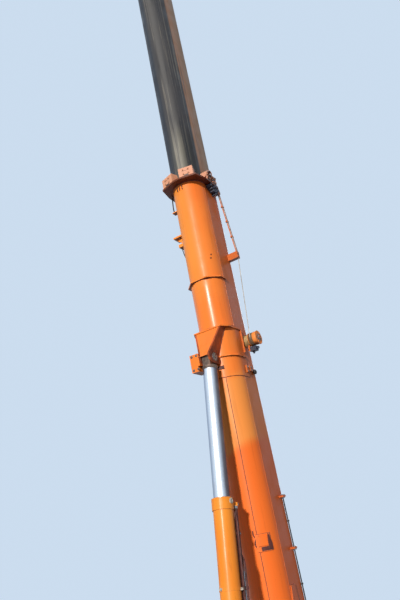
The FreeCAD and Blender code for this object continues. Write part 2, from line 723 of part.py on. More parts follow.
def build():
    nodes = {}
    nodes["base_lower_shell"], nodes["base_upper_shell"] = base_shells()
    nodes["base_collar"] = collar(0, BASE_FRONT)
    nodes["base_front_pads"] = front_pads(0, BASE_FRONT)
    nodes["foot_tube"] = foot_tube()
    nodes["foot_plates"] = foot_plates()
    nodes["tail_frame"] = tail_frame()
    nodes["saddle_cheeks"] = saddle_cheeks()
    nodes["saddle_ribs"] = saddle_ribs()
    nodes["saddle_nose"] = saddle_nose()
    nodes["saddle_doubler"] = saddle_doubler()
    nodes["saddle_pin"] = saddle_pin()
    nodes["pin_keeper"] = pin_keeper()
    nodes["mid_rib"] = mid_rib()
    nodes["belly_pad"] = belly_pad()
    nodes["guide_bar"] = guide_bar()
    nodes["left_brackets"] = left_brackets()
    nodes["right_brackets"] = right_brackets()
    nodes["reel_housing"] = reel_housing()
    nodes["reel_bracket"] = reel_bracket()
    nodes["reel_drum"] = reel_drum()
    for level, name, x0, x1 in ((1, "middle", MIDDLE_TAIL, MIDDLE_FRONT), (2, "tip", TIP_TAIL, TIP_FRONT)):
        nodes[name + "_lower_shell"], nodes[name + "_bilge_plates"] = bottom_plates(level, x0, x1)
        nodes[name + "_upper_shell"] = shells(level, x0, x1)[1]
        nodes[name + "_tail_pads"] = tail_pads(level, x0)
    nodes["middle_collar"] = collar(1, MIDDLE_FRONT)
    nodes["middle_front_pads"] = front_pads(1, MIDDLE_FRONT)
    nodes["head_plates"] = head_plates()
    nodes["head_shafts"] = head_shafts()
    nodes["head_cross_plates"] = head_cross_plates()
    nodes.update(head_sheaves("lower_sheave", LOWER_SHEAVES, LOWER_SHAFT))
    nodes.update(head_sheaves("upper_sheave", UPPER_SHEAVES, upper_shaft()))
    for draw in (rod_eye, lift_rod, lift_barrel, gland, barrel_pipe, foot_eye):
        nodes[draw.__name__] = place_cylinder(draw())
    return nodes


def save(nodes):
    os.makedirs("parts", exist_ok=True)
    for name, shape in nodes.items():
        shape.rotate(ORIGIN, Y_AXIS, -ELEVATION)
        shape.exportStep("parts/%s.step" % name)


save(build())
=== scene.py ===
import json
import math

import bmesh
import bpy
from mathutils import Matrix, Vector


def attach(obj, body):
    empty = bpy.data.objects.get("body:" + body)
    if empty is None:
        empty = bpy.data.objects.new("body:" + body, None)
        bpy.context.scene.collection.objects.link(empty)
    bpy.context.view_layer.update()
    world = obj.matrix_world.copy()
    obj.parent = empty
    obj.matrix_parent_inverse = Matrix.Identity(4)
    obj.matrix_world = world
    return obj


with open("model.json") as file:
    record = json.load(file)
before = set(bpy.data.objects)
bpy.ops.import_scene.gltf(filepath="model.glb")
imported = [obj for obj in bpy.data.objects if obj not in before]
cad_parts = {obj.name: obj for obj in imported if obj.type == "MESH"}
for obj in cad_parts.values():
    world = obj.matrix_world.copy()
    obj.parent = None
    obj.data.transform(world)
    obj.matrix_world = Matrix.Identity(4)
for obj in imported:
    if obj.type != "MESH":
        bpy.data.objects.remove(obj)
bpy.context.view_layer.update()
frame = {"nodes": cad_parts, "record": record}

# Places are in metres in the boom's frame: x along it from the foot pivot, y across, z to the top side.
ELEVATION = math.radians(80.0)
BOOM = Matrix.Rotation(-ELEVATION, 4, "Y")

# Camera fitted to the photograph: where it stands, and its right, down and forward directions.
CAMERA_AT = (7.74466, 3.9497, 0.51728)
CAMERA_RIGHT = (-0.558911, 0.825461, -0.078945)
CAMERA_DOWN = (-0.384354, -0.342242, -0.857404)
CAMERA_FORWARD = (-0.734772, -0.44887, 0.508552)
SENSOR = 36.0
LENS = 33.0

# Each lamp: the way its light travels, its strength, how wide it looks in degrees, and its colour.
LAMPS = {
    "key": ((-0.965, -0.2027, -0.1667), 3.35, 4.0, (1.0, 0.965, 0.92)),
    "back": ((0.87, 0.25, -0.42), 1.7, 35.0, (0.95, 0.97, 1.0)),
}
SKY_LIGHT = (0.90, 0.95, 1.0, 1.0)
SKY_STRENGTH = 0.12
BACKGROUND = (0.60, 0.72, 0.86, 1.0)
FLOOR_COLOUR = (0.55, 0.55, 0.54, 1.0)
FLOOR_GLOW = (0.90, 0.91, 0.92, 1.0)
GLOW_SHARE = 0.62       # the glow's part in the floor's look, for rays that see the background
FLOOR_Z = -0.915
FLOOR_RADIUS = 45.0
FLOOR_SIDES = 64

# Lift cylinder: its pin in the saddle, its lean to the boom, and its foot eye's distance from the pin
PIN = Vector((4.14, 0.0, -0.453))
CYLINDER_LEAN = math.radians(10.5)
FOOT_EYE = 4.781

# Fronts of the base and middle sections, thickness of a collar's flange, and where the head starts
BASE_FRONT, MIDDLE_FRONT = 7.445, 13.15
FLANGE_PLATE = 0.030
HEAD_START = 13.63

# Stretches of the base section along x: the ochre paint, and the shell that shines above the saddle
OCHRE = (2.83, 3.86)
SHINING = (4.85, 5.60)

# Middle of the cable reel, whose axis runs along y
REEL_X, REEL_Z = 4.45, 0.30

# Distances between the rings of a weld bead, and its number of sides
WELD_STEP = 0.009
WELD_SIDES = 6

SHARP = math.radians(40.0)      # edges that turn by more than this are sharp


def rgb(red, green, blue):
    """A display colour of 0 to 255 as linear light."""
    shares = [value / 255 for value in (red, green, blue)]
    return tuple(v / 12.92 if v < 0.04045 else ((v + 0.055) / 1.055) ** 2.4 for v in shares) + (1.0,)


def turns_of(count, closed=False):
    """Angles of one turn in equal steps; closed ends with the full turn."""
    return [2 * math.pi * i / count for i in range(count + closed)]


# Camera, light and floor


def make_camera():
    """The photograph's camera."""
    data = bpy.data.cameras.new("camera")
    data.sensor_fit = "VERTICAL"
    data.sensor_height = SENSOR
    data.lens = LENS
    data.clip_end = 200.0
    camera = bpy.data.objects.new("camera", data)
    axes = (Vector(CAMERA_RIGHT), -Vector(CAMERA_DOWN), -Vector(CAMERA_FORWARD))
    camera.matrix_world = Matrix.Translation(CAMERA_AT) @ Matrix(axes).transposed().to_4x4()
    bpy.context.scene.collection.objects.link(camera)
    bpy.context.scene.camera = camera


def make_lamps():
    """Sun lamps: a strong one from the camera's side, and a soft one for the far side."""
    for name, (travel, strength, width, colour) in LAMPS.items():
        lamp = bpy.data.lights.new(name, "SUN")
        lamp.energy = strength
        lamp.angle = math.radians(width)
        lamp.color = colour
        sun = bpy.data.objects.new(name, lamp)
        sun.rotation_euler = Vector(travel).to_track_quat("-Z", "Y").to_euler()
        bpy.context.scene.collection.objects.link(sun)


def stage_shader(owner, output, base, base_colour, shown, shown_colour, share=1.0):
    """Gives the world or the floor its shader; returns the base's node.

    Rays that see the background, from the camera or through mirrors and glass, get a share of shown.
    """
    owner.use_nodes = True
    tree = owner.node_tree
    tree.nodes.clear()
    path = tree.nodes.new("ShaderNodeLightPath")
    seen = path.outputs["Is Camera Ray"]
    for name in ("Is Glossy Ray", "Is Transmission Ray"):
        most = tree.nodes.new("ShaderNodeMath")
        most.operation = "MAXIMUM"
        tree.links.new(seen, most.inputs[0])
        tree.links.new(path.outputs[name], most.inputs[1])
        seen = most.outputs[0]
    part = tree.nodes.new("ShaderNodeMath")
    part.operation = "MULTIPLY"
    part.inputs[1].default_value = share
    tree.links.new(seen, part.inputs[0])
    mix = tree.nodes.new("ShaderNodeMixShader")
    tree.links.new(part.outputs[0], mix.inputs[0])
    shaders = []
    for kind, colour in ((base, base_colour), (shown, shown_colour)):
        shaders.append(tree.nodes.new(kind))
        shaders[-1].inputs["Color"].default_value = colour
        tree.links.new(shaders[-1].outputs[0], mix.inputs[len(shaders)])
    out = tree.nodes.new(output)
    tree.links.new(mix.outputs[0], out.inputs["Surface"])
    return shaders[0]


def make_world():
    """Weak light from the sky, and a plain background."""
    world = bpy.data.worlds.new("studio")
    light = stage_shader(world, "ShaderNodeOutputWorld", "ShaderNodeBackground", SKY_LIGHT,
                         "ShaderNodeBackground", BACKGROUND)
    light.inputs["Strength"].default_value = SKY_STRENGTH
    bpy.context.scene.world = world


def make_floor():
    """Round pale floor that keeps the object's shadow."""
    mesh = bpy.data.meshes.new("floor")
    ring = [(FLOOR_RADIUS * math.cos(a), FLOOR_RADIUS * math.sin(a), FLOOR_Z) for a in turns_of(FLOOR_SIDES)]
    mesh.from_pydata(ring, [], [tuple(range(FLOOR_SIDES))])
    floor = bpy.data.objects.new("floor", mesh)
    bpy.context.scene.collection.objects.link(floor)
    material = bpy.data.materials.new("floor")
    stage_shader(material, "ShaderNodeOutputMaterial", "ShaderNodeBsdfDiffuse", FLOOR_COLOUR,
                 "ShaderNodeEmission", FLOOR_GLOW, GLOW_SHARE)
    mesh.materials.append(material)


make_camera()
make_lamps()
make_world()
make_floor()


# Materials


class Finish:
    """A material's node tree, built one node at a time. Places in it are in the boom's frame, in metres."""

    def __init__(self, name):
        self.material = bpy.data.materials.new(name)
        self.material.use_nodes = True
        self.tree = self.material.node_tree
        self.tree.nodes.clear()
        self.shader = self.node("ShaderNodeBsdfPrincipled")
        out = self.node("ShaderNodeOutputMaterial")
        self.join(self.shader.outputs[0], out, "Surface")
        coordinates = self.node("ShaderNodeTexCoord")
        self.place = self.turned(coordinates.outputs["Object"], ELEVATION)
        self.normal = self.turned(coordinates.outputs["Normal"], ELEVATION)
        self.height = None

    def node(self, kind, **settings):
        """A new node with its settings."""
        made = self.tree.nodes.new(kind)
        for name, value in settings.items():
            setattr(made, name, value)
        return made

    def join(self, value, node, socket):
        """Links an output to a socket, or sets the socket to a plain value."""
        target = node.inputs[socket]
        if isinstance(value, bpy.types.NodeSocket):
            self.tree.links.new(value, target)
        else:
            target.default_value = value

    def turned(self, vector, angle, shift=(0.0, 0.0, 0.0)):
        """The vector turned about y, and then shifted."""
        turn = self.node("ShaderNodeMapping")
        turn.inputs["Rotation"].default_value = (0.0, angle, 0.0)
        turn.inputs["Location"].default_value = shift
        self.join(vector, turn, "Vector")
        return turn.outputs[0]

    def math(self, operation, first, second=0.0, third=0.0):
        """The output of a Math node."""
        made = self.node("ShaderNodeMath", operation=operation)
        for i, value in enumerate((first, second, third)):
            if i < len(made.inputs):
                self.join(value, made, i)
        return made.outputs[0]

    def axis(self, index, vector=None):
        """One part of a vector, or of the place: 0, 1 or 2 for x, y or z."""
        split = self.node("ShaderNodeSeparateXYZ")
        self.join(vector or self.place, split, 0)
        return split.outputs[index]

    def stretched(self, along, across):
        """The place scaled by one number along the boom and another across it."""
        scale = self.node("ShaderNodeMapping")
        self.join(self.place, scale, "Vector")
        scale.inputs["Scale"].default_value = (along, across, across)
        return scale.outputs[0]

    def noise(self, scale, detail=4.0, roughness=0.55, place=None):
        """Noise between 0 and 1; scale is about the number of blots in a metre."""
        made = self.node("ShaderNodeTexNoise")
        self.join(self.place if place is None else place, made, "Vector")
        made.inputs["Scale"].default_value = scale
        made.inputs["Detail"].default_value = detail
        made.inputs["Roughness"].default_value = roughness
        return made.outputs["Fac"]

    def step(self, value, low, high, to_low=0.0, to_high=1.0):
        """value from low to high, turned smoothly into to_low to to_high."""
        made = self.node("ShaderNodeMapRange", interpolation_type="SMOOTHSTEP")
        for i, item in enumerate((value, low, high, to_low, to_high)):
            self.join(item, made, i)
        return made.outputs[0]

    def zone(self, value, low, high, fade):
        """1 between low and high, fading to 0 outside them."""
        rise = self.step(value, low - fade, low + fade)
        fall = self.step(value, high - fade, high + fade, 1.0, 0.0)
        return self.math("MULTIPLY", rise, fall)

    def mix(self, share, first, second):
        """The colour first, with this share of second in it."""
        made = self.node("ShaderNodeMix", data_type="RGBA")
        first_socket, second_socket, result = 6, 7, 2
        self.join(share, made, "Factor")
        self.join(first, made, first_socket)
        self.join(second, made, second_socket)
        return made.outputs[result]

    def over(self, colour, mask, share, paint):
        """The colour with paint over it where mask is 1, as strong as share."""
        return self.mix(self.math("MULTIPLY", mask, share), colour, paint)

    def ramp(self, value, stops):
        """Colour by a value; each stop holds a value and its colour."""
        made = self.node("ShaderNodeValToRGB")
        points = made.color_ramp.elements
        while len(points) < len(stops):
            points.new(0.5)
        for point, (at, colour) in zip(points, stops):
            point.position = at
            point.color = colour
        self.join(value, made, "Fac")
        return made.outputs["Color"]

    def round_ramp(self, turn, stops):
        """Ramp round a section; each stop holds degrees from the keel towards +y, red, green and blue."""
        return self.ramp(turn, [(keel_angle(degrees), rgb(*colour)) for degrees, *colour in stops])

    def edges(self, radius):
        """1 along sharp edges, 0 on flat and round faces."""
        soft = self.node("ShaderNodeBevel", samples=4)
        soft.inputs["Radius"].default_value = radius
        true = self.node("ShaderNodeNewGeometry")
        dot = self.node("ShaderNodeVectorMath", operation="DOT_PRODUCT")
        self.join(soft.outputs[0], dot, 0)
        self.join(true.outputs["Normal"], dot, 1)
        return self.step(dot.outputs["Value"], 0.995, 0.90)

    def rubbed(self, colour, radius, share, paint, where=1.0):
        """The colour with its sharp edges rubbed to paint, in the places that where allows."""
        return self.over(colour, self.math("MULTIPLY", self.edges(radius), where), share, paint)

    def bump(self, height, strength, distance):
        """Adds a layer of bump to those that are there already."""
        made = self.node("ShaderNodeBump")
        made.inputs["Strength"].default_value = strength
        made.inputs["Distance"].default_value = distance
        self.join(height, made, "Height")
        if self.height is not None:
            self.join(self.height, made, "Normal")
        self.height = made.outputs[0]
        self.join(self.height, self.shader, "Normal")

    def angle(self, place=None):
        """Angle round the section, 0.5 at the keel, more towards +y, less towards -y."""
        turn = self.math("ARCTAN2", self.axis(1, place), self.math("MULTIPLY", self.axis(2, place), -1.0))
        return self.math("MULTIPLY_ADD", turn, 0.5 / math.pi, 0.5)

    def near(self, point, close, far):
        """1 closer to the point than close, fading to 0 at far."""
        apart = self.node("ShaderNodeVectorMath", operation="DISTANCE")
        self.join(self.place, apart, 0)
        self.join(point, apart, 1)
        return self.step(apart.outputs["Value"], close, far, 1.0, 0.0)

    def set(self, **values):
        """Sets the shader's sockets; an underscore in a name stands for a blank."""
        for name, value in values.items():
            self.join(value, self.shader, name.replace("_", " "))


def keel_angle(degrees):
    """Degrees from the keel towards +y, in the unit of Finish.angle."""
    return 0.5 + degrees / 360.0


def boom_zones(f, colour, cloud):
    """The base section's zones: painted light on the keel, ochre, red, painted shade on the right side wall,
    pale pad holders, and painted shade on the flange.
    """
    x, angle = f.axis(0), f.angle()
    # Painted light: paler, yellower paint from the keel round to the left side, strongest beyond x 6.1.
    painted_light = f.step(angle, keel_angle(40), keel_angle(-35), 0.0, 0.85)
    colour = f.over(colour, painted_light, f.step(x, 4.9, 6.1, 0.25, 1.0), rgb(252, 156, 66))
    slant = f.math("MULTIPLY_ADD", f.axis(1), -0.5, f.math("MULTIPLY_ADD", cloud, 0.25, x))
    colour = f.mix(f.zone(slant, *OCHRE, 0.10), colour, rgb(247, 150, 70))
    colour = f.mix(f.step(slant, 2.94, 2.74, 0.0, 0.80), colour, rgb(246, 112, 38))
    # Painted shade: the right side wall, 76 to 104 degrees from the keel, goes darker brown.
    colour = f.mix(f.step(angle, keel_angle(76), keel_angle(104), 0.0, 0.62), colour, rgb(172, 84, 40))
    holders = f.zone(x, BASE_FRONT + 0.003, BASE_FRONT + 0.305, 0.003)
    colour = f.over(colour, holders, 0.80, rgb(218, 166, 140))
    # Painted shade: the collar's flange plate, all round, goes near black maroon.
    flange = f.zone(x, BASE_FRONT - FLANGE_PLATE - 0.002, BASE_FRONT + 0.001, 0.002)
    return f.over(colour, flange, 0.92, rgb(78, 30, 22))


def orange_paint(name, main, pale, dirt=0.5, zones=False):
    """Sprayed paint with dust, specks and chipped edges, and painted shade on the faces that look down the
    boom.
    """
    f = Finish(name)
    cloud = f.noise(0.9, 5.0)
    colour = f.mix(f.step(cloud, 0.35, 0.65), main, pale)
    if zones:
        colour = boom_zones(f, colour, cloud)
    streaks = f.noise(1.0, 6.0, 0.6, f.stretched(0.8, 16.0))
    film = f.math("MULTIPLY", f.step(streaks, 0.52, 0.72), 0.34 * dirt)
    colour = f.mix(film, colour, rgb(120, 62, 34))
    specks = f.step(f.noise(23.0, 6.0, 0.65), 0.66, 0.72)
    colour = f.over(colour, specks, 0.45 * dirt, rgb(92, 54, 36))
    chips = f.noise(60.0, 3.0)
    colour = f.rubbed(colour, 0.006, 0.6, rgb(206, 150, 112), f.step(chips, 0.42, 0.60))
    colour = f.rubbed(colour, 0.003, 0.8, rgb(104, 82, 70), f.step(chips, 0.58, 0.66))
    # Painted shade: faces that look down the boom, towards the foot, go dark maroon.
    down_face_shade = f.step(f.axis(0, f.normal), -0.5, -0.9, 0.0, 0.86)
    colour = f.mix(down_face_shade, colour, rgb(86, 38, 26))
    f.set(Base_Color=colour, Coat_Weight=0.10, Coat_Roughness=0.22, Specular_IOR_Level=0.22)
    rough = f.step(f.noise(3.0, 5.0), 0.3, 0.7, 0.36, 0.54)
    if zones:
        shining = f.zone(f.math("MULTIPLY_ADD", streaks, 0.3, f.axis(0)), *SHINING, 0.12)
        rough = f.math("SUBTRACT", rough, f.math("MULTIPLY", shining, 0.20))
    f.set(Roughness=f.math("ADD", rough, f.math("MULTIPLY", film, 0.6)))
    f.bump(f.noise(1.7, 2.0), 0.35, 0.004)
    f.bump(f.noise(420.0, 2.0), 0.10, 0.0006)
    f.bump(chips, 0.08, 0.0006)
    return f.material


def cheek_paint(name):
    """The saddle's sides: paint darkened to brown as painted shade, near black round the pin with grease and
    painted shade.
    """
    f = Finish(name)
    cloud = f.noise(7.0, 5.0, 0.6)
    # Painted shade: the sides are brown, darker than the boom's orange.
    colour = f.mix(f.step(cloud, 0.35, 0.65), rgb(204, 94, 42), rgb(164, 76, 38))
    # Near black round the pin: grease and painted shade.
    grease = f.math("MULTIPLY", f.near(PIN, 0.10, 0.26), f.step(cloud, 0.25, 0.50))
    colour = f.mix(grease, colour, rgb(62, 38, 30))
    colour = f.rubbed(colour, 0.006, 0.55, rgb(196, 128, 88), f.step(f.noise(60.0, 3.0), 0.42, 0.60))
    f.set(Base_Color=colour, Specular_IOR_Level=0.25)
    f.set(Roughness=f.step(cloud, 0.3, 0.7, 0.42, 0.66))
    f.bump(cloud, 0.25, 0.003)
    f.bump(f.noise(420.0, 2.0), 0.10, 0.0006)
    return f.material


def grey_section(name):
    """Dark painted telescope section: greasy, with pale streaks that the pads have left along it."""
    f = Finish(name)
    angle = f.angle()
    wander = f.math("MULTIPLY_ADD", f.noise(0.7, 3.0), 0.03, -0.015)
    angle = f.math("ADD", angle, wander)
    # Round the section: dark grey paint with a tan top edge, and painted light on it: a bright band at 12
    # degrees from the keel, where the key lamp falls most, with painted shade darkening both sides of it.
    colour = f.round_ramp(angle, (
        (-180, 120, 110, 102), (-150, 124, 104, 88), (-95, 82, 74, 70), (-60, 50, 54, 64), (-18, 50, 53, 60),
        (-2, 84, 84, 82), (12, 146, 142, 132), (26, 116, 113, 102), (38, 84, 82, 75), (50, 48, 50, 49),
        (76, 36, 31, 30), (91, 48, 38, 34), (100, 184, 132, 96), (140, 154, 126, 104), (180, 120, 110, 102)))
    keel = f.zone(angle, keel_angle(-12), keel_angle(88), 0.02)
    colour = f.over(colour, keel, f.step(f.axis(0), 8.1, 8.9, 0.0, 0.85), rgb(62, 60, 62))
    streaks = f.noise(1.0, 6.0, 0.65, f.stretched(0.35, 26.0))
    colour = f.over(colour, f.step(streaks, 0.54, 0.70), 0.45, rgb(168, 160, 144))
    smears = f.noise(1.0, 6.0, 0.6, f.stretched(0.5, 12.0))
    grease = f.math("MULTIPLY", f.step(smears, 0.50, 0.66), 0.6)
    colour = f.mix(grease, colour, rgb(38, 36, 38))
    colour = f.rubbed(colour, 0.006, 0.6, rgb(150, 146, 140), f.step(f.noise(60.0, 3.0), 0.42, 0.6))
    f.set(Base_Color=colour, Specular_IOR_Level=0.3)
    rough = f.step(f.noise(4.0, 5.0), 0.3, 0.7, 0.42, 0.62)
    f.set(Roughness=f.math("SUBTRACT", rough, f.math("MULTIPLY", grease, 0.25)))
    f.bump(f.noise(1.7, 2.0), 0.3, 0.003)
    f.bump(smears, 0.12, 0.002)
    f.bump(f.noise(420.0, 2.0), 0.10, 0.0005)
    return f.material


def chrome(name):
    """Polished rod: faint lines along it and patches of film, with painted reflection round it: bright on its
    outer side, dark and brownish towards the boom.
    """
    f = Finish(name)
    home = -(Matrix.Rotation(CYLINDER_LEAN, 3, "Y") @ PIN)
    turn = f.angle(f.turned(f.place, CYLINDER_LEAN, home))
    turn = f.math("ADD", turn, f.math("MULTIPLY_ADD", f.noise(1.3, 4.0), 0.03, -0.015))
    # Painted reflection: the colour round the rod is bright on its outer side and darkens to brown towards
    # the boom.
    colour = f.round_ramp(turn, (
        (-180, 104, 84, 76), (-110, 128, 122, 128), (-50, 150, 156, 172), (-26, 196, 202, 214),
        (-8, 248, 250, 252), (40, 244, 246, 248), (53, 198, 198, 202), (66, 120, 112, 116), (88, 92, 66, 60),
        (130, 80, 54, 44), (180, 104, 84, 76)))
    lines = f.noise(1.0, 4.0, 0.6, f.stretched(2.0, 160.0))
    film = f.step(f.noise(2.2, 5.0), 0.45, 0.7)
    colour = f.over(colour, film, 0.30, rgb(168, 158, 152))
    f.set(Base_Color=colour, Metallic=1.0)
    f.set(Roughness=f.math("ADD", f.step(lines, 0.3, 0.7, 0.26, 0.33), f.math("MULTIPLY", film, 0.08)))
    f.bump(lines, 0.03, 0.0004)
    f.bump(f.noise(300.0, 2.0), 0.02, 0.0002)
    return f.material


def machined_steel(name):
    """Bare steel with a fine grain, greasy patches and bright edges."""
    f = Finish(name)
    grain = f.noise(140.0, 4.0)
    grease = f.step(f.noise(14.0, 5.0), 0.48, 0.62)
    colour = f.over(rgb(150, 148, 146), grease, 0.7, rgb(62, 54, 48))
    colour = f.rubbed(colour, 0.004, 0.5, rgb(196, 194, 190))
    f.set(Base_Color=colour, Metallic=f.math("SUBTRACT", 1.0, f.math("MULTIPLY", grease, 0.6)))
    f.set(Roughness=f.step(grain, 0.3, 0.7, 0.30, 0.48))
    f.bump(grain, 0.10, 0.0005)
    f.bump(grease, 0.15, 0.001)
    return f.material


def grimy(name, dark, main, pale, paint):
    """Old paint under dark dirty patches, rubbed pale on its edges."""
    f = Finish(name)
    cloud = f.noise(9.0, 6.0, 0.65)
    colour = f.ramp(cloud, ((0.25, dark), (0.42, main), (0.55, pale), (0.72, paint)))
    patches = f.step(f.noise(26.0, 6.0, 0.7), 0.50, 0.62)
    colour = f.over(colour, patches, 0.7, rgb(58, 46, 42))
    colour = f.rubbed(colour, 0.005, 0.5, rgb(178, 158, 140))
    f.set(Base_Color=colour)
    f.set(Roughness=f.step(cloud, 0.3, 0.7, 0.72, 0.48))
    f.bump(cloud, 0.35, 0.004)
    f.bump(f.noise(180.0, 3.0), 0.20, 0.0008)
    return f.material


def slide_pad(name):
    """Cast nylon: ivory, scuffed along the boom, with patches of dark grease and pale worn edges."""
    f = Finish(name)
    scuffs = f.noise(1.0, 5.0, 0.6, f.stretched(6.0, 70.0))
    colour = f.mix(f.step(scuffs, 0.35, 0.7), rgb(206, 188, 152), rgb(176, 152, 116))
    grease = f.step(f.noise(18.0, 5.0), 0.52, 0.66)
    colour = f.over(colour, grease, 0.6, rgb(74, 62, 50))
    colour = f.rubbed(colour, 0.005, 0.5, rgb(228, 216, 190))
    f.set(Base_Color=colour)
    f.set(Roughness=f.step(scuffs, 0.3, 0.7, 0.45, 0.62))
    f.bump(scuffs, 0.15, 0.001)
    f.bump(f.noise(260.0, 2.0), 0.08, 0.0004)
    return f.material


def sheave_plastic(name):
    """Dark cast nylon, smoother in some patches and dusty and rougher in others."""
    f = Finish(name)
    dust = f.noise(11.0, 6.0, 0.6)
    colour = f.mix(f.step(dust, 0.40, 0.65), rgb(58, 56, 56), rgb(104, 98, 90))
    colour = f.rubbed(colour, 0.005, 0.6, rgb(140, 134, 126))
    f.set(Base_Color=colour)
    f.set(Roughness=f.step(dust, 0.35, 0.65, 0.38, 0.62))
    f.bump(f.noise(90.0, 3.0), 0.12, 0.0008)
    return f.material


def dark_finish(name, main, dust, roughness):
    """Rubber, plastic or plated steel, with patches of dust and pale worn edges."""
    f = Finish(name)
    cloud = f.noise(16.0, 5.0)
    colour = f.mix(f.step(cloud, 0.45, 0.70), main, dust)
    colour = f.rubbed(colour, 0.003, 0.5, rgb(150, 144, 138))
    f.set(Base_Color=colour)
    f.set(Roughness=f.step(cloud, 0.3, 0.7, roughness, roughness + 0.2))
    f.bump(f.noise(240.0, 3.0), 0.12, 0.0005)
    return f.material


PAINT = orange_paint("boom_orange", rgb(248, 126, 48), rgb(250, 136, 56), zones=True)
AMBER = orange_paint("cylinder_amber", rgb(242, 138, 42), rgb(246, 150, 50), 0.7)
CHEEK = cheek_paint("saddle_side")
# Dark maroon: painted shade on the barrel's pipe, hoses and clamps and on the belly strip, and the own colour
# of small dark lugs and marks.
MAROON = dark_finish("pipe_maroon", rgb(84, 34, 26), rgb(58, 30, 24), 0.60)
RUBBER = dark_finish("rubber", rgb(30, 28, 28), rgb(66, 60, 54), 0.62)
NAVY = dark_finish("navy_plastic", rgb(34, 40, 62), rgb(70, 66, 68), 0.42)
PALE = dark_finish("zinc", rgb(190, 184, 172), rgb(132, 122, 108), 0.40)
JACKET = dark_finish("cable_jacket", rgb(112, 84, 56), rgb(84, 62, 44), 0.55)
WELD = dark_finish("weld", rgb(140, 62, 32), rgb(84, 42, 28), 0.58)
FINISHES = {
    "boom_orange": PAINT,
    "section_grey": grey_section("section_grey"),
    "pad_nylon": slide_pad("pad_nylon"),
    "pin_steel": machined_steel("pin_steel"),
    "rod_chrome": chrome("rod_chrome"),
    "eye_grey": grimy("eye_grey", rgb(52, 40, 36), rgb(84, 68, 60), rgb(112, 94, 82), rgb(150, 84, 46)),
    "reel_orange": orange_paint("reel_orange", rgb(236, 140, 66), rgb(244, 160, 84), 0.9),
    "sheave_nylon": sheave_plastic("sheave_nylon"),
    "housing_khaki": grimy("housing_khaki", rgb(128, 92, 58), rgb(172, 136, 84), rgb(198, 164, 110),
                           rgb(206, 138, 76)),
}
# barrel_pipe takes the dark maroon of painted shade, and saddle_cheeks the cheek paint with its painted
# shade.
NODE_FINISHES = {"lift_barrel": AMBER, "gland": AMBER, "foot_eye": AMBER, "barrel_pipe": MAROON,
                 "saddle_cheeks": CHEEK}


def dress_nodes():
    """Gives each node of the frame the finish of its slot."""
    slots = {row["node"]: row["material_slot"] for row in frame["record"]["subparts"]}
    for name, node in frame["nodes"].items():
        node.data.materials.clear()
        node.data.materials.append(NODE_FINISHES.get(name, FINISHES[slots[name]]))


dress_nodes()


# Detail pieces, drawn in the boom's frame


